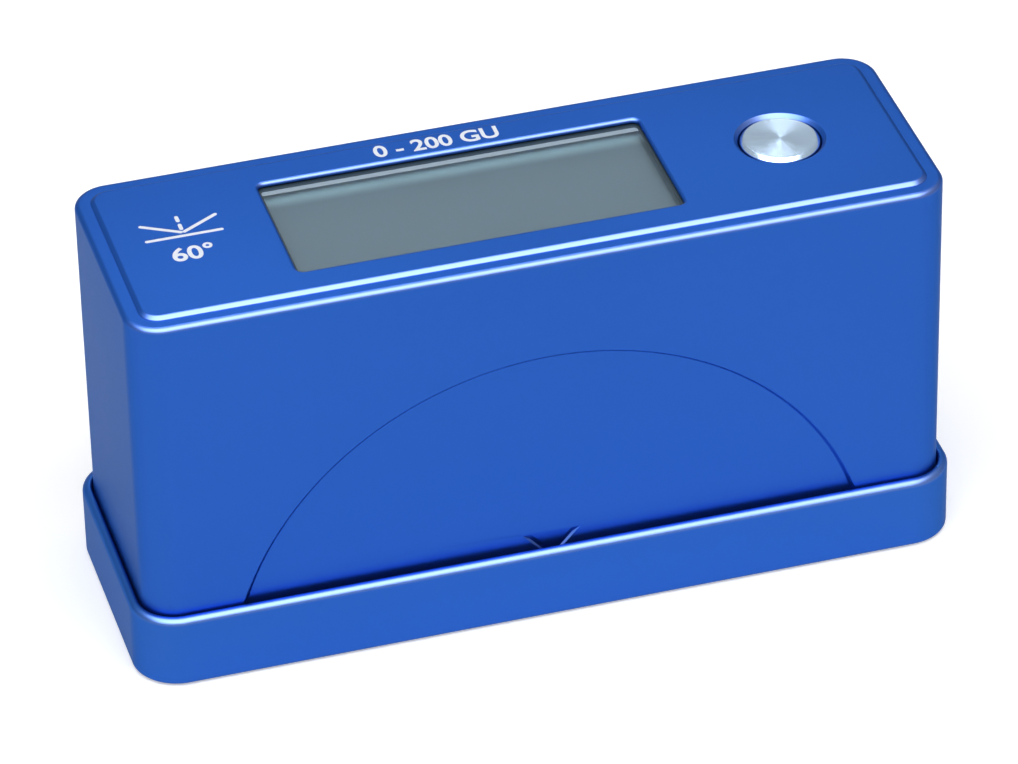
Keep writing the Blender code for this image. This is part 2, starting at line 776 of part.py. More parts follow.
block = loft(
    "optics_block",
    [[(x, optics_y + side * optics_width / 2, z) for x, z in block_outline()] for side in (-1, 1)],
    look_block, parts)
block_cuts = []
for side in (-1, 1):
    bore = turned(
        "bore", [(0.0, arm_length + cut_over), (bore_radius, arm_length + cut_over), (bore_radius, bore_start),
                 (throat_radius, bore_start), (throat_radius, throat_start), (0.0, throat_start)],
        32, None, tools)
    block_cuts.append(carry(bore, along_arm(side)))
light_well = layered_box(
    "light_well", aperture_length, aperture_width - 2 * well_inset, well_corner,
    [(0.0, inside_floor - cut_over), (well_taper, inside_floor + well_height)], None, tools, (0.0, optics_y))
for x, y in block_screw_places:
    radius = block_screw_radius + screw_hole_play
    top = meter_bottom + block_screw_length + screw_tip_room
    tap = turned(
        "block_tap", [(0.0, top), (radius, top), (radius, inside_floor - cut_over),
                      (0.0, inside_floor - cut_over)], 12, None, tools)
    block_cuts.append(carry(tap, Matrix.Translation((x, y, 0.0))))
cut(block, light_well, *block_cuts)
set_origin(block, (0.0, optics_y, inside_floor))

arm_names = {-1: ("source_lens", "source_stop", "source_lamp", "source_board"),
             1: ("receiver_lens", "receiver_stop", "receiver_sensor", "receiver_board")}
seat_radius = bore_radius - gap
for side, (lens_name, stop_name, end_name, board_name) in arm_names.items():
    frame = along_arm(side)
    half = optic_lens_thickness / 2
    bulge = []
    for i in range(5):
        share = i / 4
        bulge.append((seat_radius * share, lens_distance + half - lens_bulge * share * share))
    lens = turned(lens_name, bulge + [(seat_radius, lens_distance - half), (0.0, lens_distance - half)],
                  24, look_optic, parts)
    set_origin(carry(lens, frame), frame @ Vector((0.0, 0.0, lens_distance)))
    low = stop_distance
    high = low + stop_thickness
    stop = turned(stop_name, [(stop_hole, high), (seat_radius, high), (seat_radius, low), (stop_hole, low),
                              (stop_hole, high)], 24, look_stop, parts)
    set_origin(carry(stop, frame), frame @ Vector((0.0, 0.0, low)))
    low = high + gap
    end = arm_length - gap
    if side < 0:
        profile = [(0.0, end), (lamp_flange_radius, end), (lamp_flange_radius, end - lamp_flange),
                   (lamp_radius, end - lamp_flange)]
        for i in range(5):
            turn = i / 4 * math.pi / 2
            profile.append((lamp_radius * math.cos(turn), low + lamp_dome * (1 - math.sin(turn))))
        emitter = turned(end_name, profile, 20, look_emitter, parts)
    else:
        face = low + sensor_setback
        profile = [(0.0, end), (sensor_radius, end), (sensor_radius, face), (0.0, face)]
        emitter = turned(end_name, profile, 20, look_sensor, parts)
    set_origin(carry(emitter, frame), frame @ Vector((0.0, 0.0, end)))
    low = arm_length + gap
    arm_board = layered_box(
        board_name, arm_board_length, optics_width, small_corner,
        [(0.0, low), (0.0, low + board_thickness)], look_board, parts)
    set_origin(carry(arm_board, frame), frame @ Vector((0.0, 0.0, low)))


# Display: protective lens, panel, backlight and their frame

display_lens = layered_box(
    "display_lens", window_length + 2 * lens_overlap, window_width + 2 * lens_overlap, window_corner,
    [(0.0, lens_bottom), (0.0, lens_top)], look_lens, parts, (window_x, window_y))
set_origin(display_lens, (window_x, window_y, lens_bottom))
panel_length = window_length + 2 * lcd_overlap
panel_width = window_width + 2 * lcd_overlap
panel = layered_box(
    "lcd_panel", panel_length, panel_width, small_corner,
    [(0.0, lcd_bottom), (0.0, lcd_top)], look_lcd, parts, (window_x, window_y))
set_origin(panel, (window_x, window_y, lcd_bottom))
backlight = layered_box(
    "lcd_backlight", panel_length, panel_width, small_corner,
    [(0.0, backlight_bottom), (0.0, backlight_top)], look_backlight, parts, (window_x, window_y))
set_origin(backlight, (window_x, window_y, backlight_bottom))
frame_length = panel_length + 2 * (gap + frame_wall)
frame_width = panel_width + 2 * (gap + frame_wall)
display_frame = layered_box(
    "display_frame", frame_length, frame_width, small_corner + frame_wall,
    [(0.0, frame_bottom), (0.0, lcd_top)], look_frame, parts, (window_x, window_y))
frame_pocket = layered_box(
    "frame_pocket", panel_length + 2 * gap, panel_width + 2 * gap, small_corner + gap,
    [(0.0, frame_bottom + frame_floor), (0.0, lcd_top + cut_over)], None, tools, (window_x, window_y))
cut(display_frame, frame_pocket)
set_origin(display_frame, (window_x, window_y, frame_bottom))


# Circuit board with its screws and processor

board = layered_box(
    "display_board", board_length, board_width, board_corner,
    [(0.0, board_bottom), (0.0, board_top)], look_board, parts)
board_holes = []
boss_places = [(sx * board_boss_x, sy * board_boss_y) for sx in (-1, 1) for sy in (-1, 1)]
for x, y in boss_places:
    radius = board_screw_radius + screw_hole_play
    hole = turned(
        "board_hole", [(0.0, board_top + cut_over), (radius, board_top + cut_over),
                       (radius, board_bottom - cut_over), (0.0, board_bottom - cut_over)], 12, None, tools)
    board_holes.append(carry(hole, Matrix.Translation((x, y, 0.0))))
cut(board, *board_holes)
set_origin(board, (0.0, 0.0, board_bottom))
for index, (x, y) in enumerate(boss_places, 1):
    head = board_screw_radius * screw_head_ratio
    tip = board_top + board_screw_reach
    low = board_bottom - gap
    screw = turned(
        "board_screw_%d" % index,
        [(0.0, tip), (board_screw_radius, tip), (board_screw_radius, low), (head, low),
         (head, low - board_screw_head + board_screw_round), (head - board_screw_round, low - board_screw_head),
         (0.0, low - board_screw_head)],
        12, look_screw, parts)
    set_origin(carry(screw, Matrix.Translation((x, y, 0.0))), (x, y, low))
chip = layered_box(
    "processor_chip", chip_size, chip_size, small_corner,
    [(chip_taper, board_bottom - gap - chip_thickness), (0.0, board_bottom - gap - chip_thickness / 2),
     (0.0, board_bottom - gap)], look_chip, parts, (chip_x, 0.0))
set_origin(chip, (chip_x, 0.0, board_bottom - gap))


# Push button, switch and plunger

switch = layered_box(
    "switch_body", switch_size, switch_size, small_corner,
    [(0.0, switch_bottom), (0.0, switch_top)], look_switch, parts, (button_x, button_y))
plunger_top = flange_bottom - gap
plunger_bottom = switch_bottom + switch_floor + button_travel + gap
bore_top = switch_top + cut_over
bore_low = plunger_bottom - button_travel - gap
switch_bore = turned(
    "switch_bore", [(0.0, bore_top), (plunger_radius + gap, bore_top), (plunger_radius + gap, bore_low),
                    (0.0, bore_low)], 20, None, tools)
cut(switch, carry(switch_bore, Matrix.Translation((button_x, button_y, 0.0))))
set_origin(switch, (button_x, button_y, switch_bottom))
plunger = turned(
    "switch_plunger", [(0.0, plunger_top), (plunger_radius, plunger_top), (plunger_radius, plunger_bottom),
                       (0.0, plunger_bottom)], 20, look_plunger, parts)
set_origin(carry(plunger, Matrix.Translation((button_x, button_y, 0.0))), (button_x, button_y, plunger_bottom))

cap_profile = [(0.0, button_top)]
for i in range(5):
    turn = i / 4 * math.pi / 2
    cap_profile.append((button_radius - button_edge * (1 - math.sin(turn)),
                        button_top - button_edge * (1 - math.cos(turn))))
cap_profile += [(button_radius, flange_top), (button_flange_radius, flange_top),
                (button_flange_radius, flange_bottom), (0.0, flange_bottom)]
cap = turned("button_cap", cap_profile, 48, look_button, parts)
set_origin(carry(cap, Matrix.Translation((button_x, button_y, 0.0))), (button_x, button_y, button_top))

for tool in tools.objects:
    tool.hide_render = True
    tool.display_type = "WIRE"
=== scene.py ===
"""Gloss meter in its calibration base: the finished surfaces and materials.

Shapes are worked out in millimetres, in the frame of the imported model: X along
the length, Y from the front face to the back, Z up from the floor.
"""
import math

import bmesh
import bpy
import numpy as np
from mathutils import Matrix, Vector
from mathutils.geometry import tessellate_polygon

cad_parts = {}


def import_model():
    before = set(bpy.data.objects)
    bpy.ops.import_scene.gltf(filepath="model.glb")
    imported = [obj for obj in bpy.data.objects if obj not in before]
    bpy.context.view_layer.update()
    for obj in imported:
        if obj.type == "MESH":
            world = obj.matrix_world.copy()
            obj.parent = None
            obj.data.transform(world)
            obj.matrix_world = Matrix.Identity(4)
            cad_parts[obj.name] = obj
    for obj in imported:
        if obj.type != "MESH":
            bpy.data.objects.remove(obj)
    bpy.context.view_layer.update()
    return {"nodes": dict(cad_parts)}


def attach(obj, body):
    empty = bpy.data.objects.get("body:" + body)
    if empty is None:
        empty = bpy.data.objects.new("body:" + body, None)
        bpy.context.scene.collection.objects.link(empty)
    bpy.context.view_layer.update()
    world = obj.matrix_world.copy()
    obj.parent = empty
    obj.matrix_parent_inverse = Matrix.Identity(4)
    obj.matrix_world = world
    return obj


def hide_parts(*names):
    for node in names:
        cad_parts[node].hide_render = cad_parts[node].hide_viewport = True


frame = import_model()
mm = 0.001

# Housing
body_length = 115.0
body_width = 37.0
body_corner = 5.0
meter_bottom = 5.3
bottom_fillet = 0.5
plateau_level = 58.7
ledge_level = 58.2
ledge_width = 2.19
ledge_fillet = 0.78
plateau_slope = (0.58, 0.43)
plateau_rounds = (0.12, 0.4)
wall = 2.5
cavity_corner = 3.0
cavity_bevel = 0.2
roof_level = 55.7
web_level = 58.05
web_bevel = (0.03, 0.05)
lens_pocket_growth = 4.6
lens_pocket_corner = 1.3

# Relief on both long faces, and the groove's wall as distances inwards and depths
face_rows = 18
face_columns = 88
arc_centre = -3.8
arc_radius = 46.5
arc_top = 42.7
arc_depth_top = 0.3
arc_depth_rim = 0.58
arc_round = 0.12
mark_half_width = 4.2
mark_top = 13.0
mark_rise = 4.6
mark_stroke = 1.0
mark_depth = 0.24
mark_lean = 0.7
mark_wall = ((0.0, 0.0), (0.06, 0.03), (0.48, mark_depth - 0.02), (0.52, mark_depth))

# Calibration base
tray_length = 118.2
tray_width = 40.2
tray_corner = 6.6
tray_bottom = 0.3
tray_bottom_fillet = 0.4
rim_level = 11.15
rim_fillet = 1.0
rim_inner_round = 0.3
pocket_gap = 0.3
seat_level = 5.0
tile_pocket_size = (34.6, 18.6)
tile_pocket_corner = 0.9
tile_pocket_floor = 1.6
tile_pocket_round = 0.15
tile_size = (34.0, 18.0)
tile_corner = 0.6
tile_levels = (2.8, 4.8)
tile_edge = 0.25
tile_y = -3.0
seat_fillet = 0.2
foot_radius = 4.0
foot_top = 0.9
foot_edge = 0.3
foot_gap = 0.3
foot_recess_top = 1.2
foot_recess_bevel = 0.15
foot_places = [(sx * 50.1, sy * 11.1) for sx in (-1, 1) for sy in (-1, 1)]

# Window and button
window_centre = (-5.5, -0.15)
window_size = (54.4, 22.3)
window_corner = 1.0
window_edge = 0.48
gasket_growth = 1.0
gasket_corners = (1.2, 0.5)
gasket_inset = (0.35, 0.8)
gasket_height = 0.06
bezel_width = 0.95
bezel_height = 0.03
bezel_corner = 0.15
lens_top = 57.75
lens_thickness = 1.5
lens_growth = 4.0
lens_corner = 1.0
layer_gap = 0.001
film_levels = (55.42, 55.62)
film_growth = 5.8
film_corner = 0.8
button_centre = (38.87, 0.1)
button_radius = 5.55
button_top = 58.75
button_slope = (0.5, 0.5)
button_rounds = (0.25, 0.25)
button_flange_radius = 7.4
flange_top = 55.4
flange_bottom = 54.6
flange_bevel = 0.2
hole_radius = 5.86
hole_slope = (0.52, 0.52)
hole_rounds = (0.1, 0.1)
spin_pitch = 0.13
spin_depth = 0.012
spin_points = 4

# Print: half of the ink's height, what it adds to a letter's strokes, and the sign
ink_half = 0.012
ink_spread = 0.022
ink_sunk = 0.01
stroke_width = 0.55
sign_foot = (-45.1, 2.6)
ray_angle = math.radians(60)
ray_reach = (0.3, 6.0)

# Distance from an edge to the row of points that keeps the flat face beside it flat
support = 0.3
ledge_support = (0.12, 0.06)
plateau_support = 0.1
window_support = 0.12
hole_support = 0.2
relief_support = 0.15
tray_support = 0.15
seat_support = 0.5
tile_pocket_support = 0.2
foot_recess_support = 0.25
foot_support = 0.5
foot_side_support = 0.05
slab_support = 0.1

# In metres: points nearer than the first are welded, edges shorter than the second removed
weld_distance = 0.0000004
shortest_edge = 0.0000001

# Most of a noise texture's values lie between these
noise_range = (0.3, 0.7)

# Light: the floor's own glow, its share in reflections, the surround, the lights' aim
floor_glow = 0.42
mirror_share = 0.4
surround = (0.40, 0.56)
light_aim = (0.0, 0.0, 0.03)


# Surfaces

class Skin:
    """Patches of one closed surface, in millimetres, welded when it is finished."""

    def __init__(self):
        self.points = []
        self.faces = []
        self.count = 0

    def add(self, points, faces):
        """Points, and faces that count them from 0."""
        self.points.append(points)
        self.faces.extend((faces + self.count).tolist())
        self.count += len(points)

    def grid(self, points, closed=False):
        """Quads between neighbouring rows and columns of a (rows, columns, 3) array."""
        rows, columns = points.shape[:2]
        index = np.arange(rows * columns).reshape(rows, columns)
        if closed:
            index = np.concatenate([index, index[:, :1]], axis=1)
        quads = np.stack([index[:-1, :-1], index[:-1, 1:], index[1:, 1:], index[1:, :-1]], axis=-1)
        self.add(points.reshape(-1, 3), quads.reshape(-1, 4))

    def fill(self, outline, *holes):
        """Triangles of a flat face between its outline and its holes."""
        loops = [outline, *holes]
        triangles = tessellate_polygon([[Vector(p) for p in loop.tolist()] for loop in loops])
        self.add(np.concatenate(loops), np.array(triangles))

    def piece(self, name, look, body, sharp=38.0):
        """One welded mesh object, its faces outwards and its true corners kept sharp."""
        mesh = bpy.data.meshes.new(name)
        mesh.from_pydata((np.concatenate(self.points) * mm).tolist(), [], self.faces)
        shape = bmesh.new()
        shape.from_mesh(mesh)
        bmesh.ops.remove_doubles(shape, verts=shape.verts, dist=weld_distance)
        bmesh.ops.dissolve_degenerate(shape, edges=shape.edges, dist=shortest_edge)
        bmesh.ops.recalc_face_normals(shape, faces=shape.faces)
        shape.to_mesh(mesh)
        shape.free()
        mesh.polygons.foreach_set("use_smooth", np.ones(len(mesh.polygons), dtype=bool))
        mesh.set_sharp_from_angle(angle=math.radians(sharp))
        # Mask for a heavier coat on upper fillets along X: a painted highlight
        mark_painted_highlights(mesh)
        mesh.materials.append(look)
        made = bpy.data.objects.new(name, mesh)
        bpy.context.scene.collection.objects.link(made)
        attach(made, body)
        return made


def mark_painted_highlights(mesh):
    """Attribute painted_highlight_mask: s (1 - (1 - 2 n^2)^4) for a normal (x, y, n) that rises.

    s = y^2 / (x^2 + y^2). It is 1 on the fillet of an upper edge that runs
    along X, and 0 on flat faces, below and on edges that run along Y. The
    coat is made heavier where it is high: a painted highlight on those fillets.
    """
    normals = np.zeros(len(mesh.vertices) * 3, dtype=np.float32)
    mesh.vertex_normals.foreach_get("vector", normals)
    x, y, up = normals.reshape(-1, 3).T
    along = y * y / np.maximum(x * x + y * y, 1e-6)
    rise = np.clip(up, 0.0, 1.0) ** 2
    turn = mesh.attributes.new("painted_highlight_mask", "FLOAT", "POINT")
    turn.data.foreach_set("value", along * (1 - (1 - 2 * rise) ** 4))


def stations(half, count):
    """Both ends of a side from -half to half, and count even places that start inside them."""
    inner = np.linspace(-half + support, half - support, count)
    return np.concatenate([[-half], inner, [half]])


def quarter(start, count):
    """Angles of a quarter turn, without its two ends."""
    return start + np.linspace(0.0, math.pi / 2, count + 2)[1:-1]


def rounded_outline(length, width, radius, corner=8, along=3, across=3,
                    centre=(0.0, 0.0), front=None):
    """Outline and outward normals of a rectangle with quarter-circle corners.

    It starts at the left end of the front side and runs anticlockwise: each
    side is straight, and each corner point is the corner's centre plus
    radius times (cos, sin) of its angle. corner, along and across count the
    points inside a corner, a long side and a short side; front gives the
    places on the long sides instead.
    """
    half_x = length / 2 - radius
    half_y = width / 2 - radius
    xs = stations(half_x, along) if front is None else front
    ys = stations(half_y, across)
    sides = [
        (np.stack([xs, np.full_like(xs, -width / 2)], 1), (0.0, -1.0)),
        (np.stack([np.full_like(ys, length / 2), ys], 1), (1.0, 0.0)),
        (np.stack([-xs, np.full_like(xs, width / 2)], 1), (0.0, 1.0)),
        (np.stack([np.full_like(ys, -length / 2), -ys], 1), (-1.0, 0.0)),
    ]
    corners = [(half_x, -half_y, -math.pi / 2), (half_x, half_y, 0.0),
               (-half_x, half_y, math.pi / 2), (-half_x, -half_y, math.pi)]
    points = []
    normals = []
    for (side, normal), (cx, cy, start) in zip(sides, corners):
        points.append(side)
        normals.append(np.tile(normal, (len(side), 1)))
        angle = quarter(start, corner)
        turn = np.stack([np.cos(angle), np.sin(angle)], 1)
        points.append(turn * radius + (cx, cy))
        normals.append(turn)
    return np.concatenate(points) + centre, np.concatenate(normals)


def circle(centre, count=96):
    """A centre repeated, and the outward normals of a circle round it, anticlockwise.

    Moved out along them by its radius, it is the circle.
    """
    angle = np.linspace(0.0, 2 * math.pi, count, endpoint=False)
    turn = np.stack([np.cos(angle), np.sin(angle)], 1)
    return np.tile(centre, (count, 1)).astype(float), turn


def rings(outline, normals, profile):
    """Rows of an edge profile carried round an outline.

    Each row is the outline moved out along its normals by the first number of
    a profile point, at the height given by the second.
    """
    profile = np.asarray(profile, dtype=float)
    flat = outline[None] + normals[None] * profile[:, 0, None, None]
    height = np.broadcast_to(profile[:, 1, None, None], flat.shape[:2] + (1,))
    return np.concatenate([flat, height], axis=2)


def bend(radius, start, end, centre, steps):
    """Profile points on a circle between two angles in degrees."""
    angle = np.radians(np.linspace(start, end, steps + 1))
    return np.stack([centre[0] + radius * np.cos(angle), centre[1] + radius * np.sin(angle)], 1)


def sloped_edge(side, top, slope, rounds):
    """Profile of a bevelled edge from its upright side to its flat top.

    slope is the bevel's (width, depth), rounds the radii at its foot and its
    brow. An arc that turns by an angle a meets its two lines at
    radius tan(a/2) from their corner.
    """
    width, depth = slope
    tilt = math.atan2(width, depth)
    foot = rounds[0] * math.tan(tilt / 2)
    brow = rounds[1] * math.tan(math.pi / 4 - tilt / 2)
    tilt = math.degrees(tilt)
    return np.concatenate([
        bend(rounds[0], 0, tilt, (side - rounds[0], top - depth - foot), 4),
        bend(rounds[1], tilt, 90, (side - width - brow, top - rounds[1]), 5)])


def turned_rows(profile, centre, count):
    """Surface of revolution: each profile point (radius, height) swept round Z."""
    outline, turn = circle(centre, count)
    return rings(outline, turn, profile)


def level(loop, height):
    """Flat loop of points at one height."""
    return np.concatenate([loop, np.full((len(loop), 1), height)], axis=1)


def around_window(growth_x, growth_y):
    """Window's length and width, made larger by two amounts."""
    return window_size[0] + growth_x, window_size[1] + growth_y


# Materials

def group_socket(group, name, kind, out=False, value=None):
    """Named socket on the outside of a shader group."""
    way = "OUTPUT" if out else "INPUT"
    socket = group.interface.new_socket(name=name, in_out=way, socket_type=kind)
    if value is not None:
        socket.default_value = value
    return socket


def make_grain():
    """Shader group for a surface's fine grain and slow drift of shade.

    A fine noise gives the grain and a wide one the drift. Colour goes from
    Dark to Light, and Roughness down and up by its spread, with a mix of the
    two in which Grain Shade is the grain's share. Height is the grain alone,
    for a Bump node.
    """
    group = bpy.data.node_groups.new("grain_and_drift", "ShaderNodeTree")
    for name, value in (("Light", (0.5, 0.5, 0.5, 1.0)), ("Dark", (0.4, 0.4, 0.4, 1.0))):
        group_socket(group, name, "NodeSocketColor", value=value)
    for name, value in (("Grain Scale", 4000.0), ("Drift Scale", 30.0), ("Grain Shade", 0.3),
                        ("Roughness", 0.4), ("Roughness Spread", 0.05)):
        group_socket(group, name, "NodeSocketFloat", value=value)
    group_socket(group, "Colour", "NodeSocketColor", out=True)
    group_socket(group, "Roughness", "NodeSocketFloat", out=True)
    group_socket(group, "Height", "NodeSocketFloat", out=True)
    nodes = group.nodes
    link = group.links.new
    start = nodes.new("NodeGroupInput")
    end = nodes.new("NodeGroupOutput")
    place = nodes.new("ShaderNodeTexCoord")
    fine = nodes.new("ShaderNodeTexNoise")
    fine.inputs["Detail"].default_value = 2.0
    fine.inputs["Roughness"].default_value = 0.6
    link(place.outputs["Object"], fine.inputs["Vector"])
    link(start.outputs["Grain Scale"], fine.inputs["Scale"])
    wide = nodes.new("ShaderNodeTexNoise")
    wide.inputs["Detail"].default_value = 1.0
    link(place.outputs["Object"], wide.inputs["Vector"])
    link(start.outputs["Drift Scale"], wide.inputs["Scale"])
    blend = nodes.new("ShaderNodeMix")
    blend.data_type = "FLOAT"
    link(start.outputs["Grain Shade"], blend.inputs["Factor"])
    link(wide.outputs["Fac"], blend.inputs["A"])
    link(fine.outputs["Fac"], blend.inputs["B"])
    shade = nodes.new("ShaderNodeMix")
    shade.data_type = "RGBA"
    link(blend.outputs["Result"], shade.inputs["Factor"])
    link(start.outputs["Dark"], shade.inputs["A"])
    link(start.outputs["Light"], shade.inputs["B"])
    spread = nodes.new("ShaderNodeMapRange")
    spread.inputs["From Min"].default_value = noise_range[0]
    spread.inputs["From Max"].default_value = noise_range[1]
    spread.inputs["To Min"].default_value = -1.0
    spread.inputs["To Max"].default_value = 1.0
    link(blend.outputs["Result"], spread.inputs["Value"])
    rough = nodes.new("ShaderNodeMath")
    rough.operation = "MULTIPLY_ADD"
    link(spread.outputs["Result"], rough.inputs[0])
    link(start.outputs["Roughness Spread"], rough.inputs[1])
    link(start.outputs["Roughness"], rough.inputs[2])
    link(shade.outputs["Result"], end.inputs["Colour"])
    link(rough.outputs["Value"], end.inputs["Roughness"])
    link(fine.outputs["Fac"], end.inputs["Height"])
    return group


grain_group = make_grain()


def film_border_and_painted_light(made, light, start, end):
    """Blend the shader's colour to a paler one as Y rises from start to end.

    On the display film the paler band is partly the film's lighter border
    and partly painted light that offsets the shade the web, gasket and
    bezel cast on the film near the back.
    """
    nodes = made.node_tree.nodes
    link = made.node_tree.links.new
    place = nodes.new("ShaderNodeTexCoord")
    split = nodes.new("ShaderNodeSeparateXYZ")
    link(place.outputs["Object"], split.inputs["Vector"])
    reach = nodes.new("ShaderNodeMapRange")
    reach.interpolation_type = "SMOOTHSTEP"
    reach.inputs["From Min"].default_value = start * mm
    reach.inputs["From Max"].default_value = end * mm
    link(split.outputs["Y"], reach.inputs["Value"])
    blend = nodes.new("ShaderNodeMix")
    blend.data_type = "RGBA"
    blend.inputs["B"].default_value = (*light, 1.0)
    link(reach.outputs["Result"], blend.inputs["Factor"])
    colour = nodes["Principled BSDF"].inputs["Base Color"]
    link(colour.links[0].from_socket, blend.inputs["A"])
    link(blend.outputs["Result"], colour)


def turning_streaks(made, centre, pale, deep):
    """Radial streaks of a lathe-turned face: noise of the angle round a vertical axis.

    pale and deep are what the shader's colour is multiplied by.
    """
    nodes = made.node_tree.nodes
    link = made.node_tree.links.new
    place = nodes.new("ShaderNodeTexCoord")
    split = nodes.new("ShaderNodeSeparateXYZ")
    link(place.outputs["Object"], split.inputs["Vector"])
    sides = []
    for axis, middle in zip("XY", centre):
        offset = nodes.new("ShaderNodeMath")
        offset.operation = "SUBTRACT"
        offset.inputs[1].default_value = middle * mm
        link(split.outputs[axis], offset.inputs[0])
        sides.append(offset)
    angle = nodes.new("ShaderNodeMath")
    angle.operation = "ARCTAN2"
    link(sides[1].outputs["Value"], angle.inputs[0])
    link(sides[0].outputs["Value"], angle.inputs[1])
    streak = nodes.new("ShaderNodeTexNoise")
    streak.noise_dimensions = "1D"
    streak.inputs["Scale"].default_value = 9.0
    streak.inputs["Detail"].default_value = 3.0
    link(angle.outputs["Value"], streak.inputs["W"])
    shade = nodes.new("ShaderNodeMapRange")
    shade.inputs["From Min"].default_value = noise_range[0]
    shade.inputs["From Max"].default_value = noise_range[1]
    shade.inputs["To Min"].default_value = deep
    shade.inputs["To Max"].default_value = pale
    link(streak.outputs["Fac"], shade.inputs["Value"])
    blend = nodes.new("ShaderNodeVectorMath")
    blend.operation = "SCALE"
    link(shade.outputs["Result"], blend.inputs["Scale"])
    colour = nodes["Principled BSDF"].inputs["Base Color"]
    link(colour.links[0].from_socket, blend.inputs["Vector"])
    link(blend.outputs["Vector"], colour)


def finish(name, light, dark, roughness, metallic=0.0, grain=4000.0, drift=30.0, shade=0.3,
           spread=0.04, bump=0.0, depth=0.00002, edge_coat=None, **sockets):
    """Material with the grain group; other words set the shader's own sockets.

    A pair of coat weights sets the coat on flat faces and on the fillets of
    the long upper edges; the heavier coat on those fillets is a painted
    highlight that whitens their highlights.
    """
    made = bpy.data.materials.new(name)
    made.use_nodes = True
    nodes = made.node_tree.nodes
    link = made.node_tree.links.new
    shader = nodes["Principled BSDF"]
    shader.inputs["Metallic"].default_value = metallic
    texture = nodes.new("ShaderNodeGroup")
    texture.node_tree = grain_group
    texture.inputs["Light"].default_value = (*light, 1.0)
    texture.inputs["Dark"].default_value = (*dark, 1.0)
    texture.inputs["Grain Scale"].default_value = grain
    texture.inputs["Drift Scale"].default_value = drift
    texture.inputs["Grain Shade"].default_value = shade
    texture.inputs["Roughness"].default_value = roughness
    texture.inputs["Roughness Spread"].default_value = spread
    link(texture.outputs["Colour"], shader.inputs["Base Color"])
    link(texture.outputs["Roughness"], shader.inputs["Roughness"])
    if bump:
        relief = nodes.new("ShaderNodeBump")
        relief.inputs["Strength"].default_value = bump
        relief.inputs["Distance"].default_value = depth
        link(texture.outputs["Height"], relief.inputs["Height"])
        link(relief.outputs["Normal"], shader.inputs["Normal"])
    # Heavier coat on the fillets marked in the mesh: a painted highlight
    if edge_coat:
        turn = nodes.new("ShaderNodeAttribute")
        turn.attribute_name = "painted_highlight_mask"
        weight = nodes.new("ShaderNodeMapRange")
        weight.inputs["To Min"].default_value = edge_coat[0]
        weight.inputs["To Max"].default_value = edge_coat[1]
        link(turn.outputs["Fac"], weight.inputs["Value"])
        link(weight.outputs["Result"], shader.inputs["Coat Weight"])
    for socket, value in sockets.items():
        shader.inputs[socket.replace("_", " ")].default_value = value
    made.diffuse_color = (*light, 1.0)
    return made


# The larger coat weight below, on the upper fillets along X, is a painted highlight
anodised = dict(
    roughness=0.38, metallic=1.0, grain=2600.0, drift=22.0, shade=0.45, spread=0.03,
    bump=0.35, depth=0.000015, edge_coat=(0.05, 0.42),
    Coat_Roughness=0.36, Coat_IOR=4.0, Specular_Tint=(0.50, 0.58, 0.58, 1.0))
blue_anodised = finish("blue_anodised", (0.013, 0.118, 0.56), (0.009, 0.103, 0.50), **anodised)
tray_anodised = finish("tray_anodised", (0.017, 0.134, 0.56), (0.013, 0.118, 0.50), **anodised)
plate_anodised = finish(
    "plate_anodised", (0.030, 0.032, 0.036), (0.022, 0.024, 0.028),
    roughness=0.42, metallic=0.8, grain=2600.0, drift=25.0, shade=0.45, spread=0.03, bump=0.35,
    Coat_Weight=0.4, Coat_Roughness=0.35)
turned_aluminium = finish(
    "turned_aluminium", (0.62, 0.80, 1.0), (0.59, 0.77, 0.98),
    roughness=0.24, metallic=1.0, grain=6000.0, drift=160.0, shade=0.4, spread=0.03)
turning_streaks(turned_aluminium, button_centre, pale=1.05, deep=0.92)
screw_steel = finish(
    "screw_steel", (0.32, 0.32, 0.33), (0.25, 0.25, 0.26),
    roughness=0.3, metallic=1.0, grain=5000.0, drift=200.0, shade=0.4, bump=0.15)
black_glass = finish(
    "black_glass", (0.006, 0.006, 0.007), (0.004, 0.004, 0.005), roughness=0.02, spread=0.004)
tile_foam = finish(
    "tile_foam", (0.075, 0.075, 0.08), (0.03, 0.03, 0.032),
    roughness=0.95, grain=1800.0, drift=300.0, shade=0.8, spread=0.02, bump=0.9, depth=0.0002)
foot_rubber = finish(
    "foot_rubber", (0.036, 0.036, 0.038), (0.022, 0.022, 0.024),
    roughness=0.75, grain=3000.0, drift=150.0, shade=0.5, spread=0.05, bump=0.5, depth=0.00004,
    Sheen_Weight=0.2)
door_plastic = finish(
    "door_plastic", (0.033, 0.035, 0.039), (0.024, 0.026, 0.030),
    roughness=0.5, grain=2400.0, drift=60.0, shade=0.5, spread=0.05, bump=0.5, depth=0.00003)
film_grey = finish(
    "lcd_glass", (0.074, 0.155, 0.215), (0.071, 0.150, 0.208),
    roughness=0.45, grain=1500.0, shade=0.05, spread=0.01)
# Paler band at the film's back: its lighter border, plus painted light over the shade of the web,
# gasket and bezel
film_border_and_painted_light(film_grey, light=(0.53, 0.82, 0.95), start=7.2, end=11.2)
gasket_black = finish(
    "gasket_black", (0.014, 0.038, 0.054), (0.010, 0.030, 0.044), roughness=0.55, bump=0.2)
bezel_grey = finish(
    "bezel_grey", (0.32, 0.41, 0.47), (0.28, 0.37, 0.43),
    roughness=0.4, grain=3000.0, drift=60.0, shade=0.4)
print_white = finish(
    "print_white", (0.82, 0.86, 0.92), (0.74, 0.79, 0.87),
    roughness=0.5, grain=5000.0, drift=300.0, shade=0.5, spread=0.05, bump=0.3, depth=0.00001)

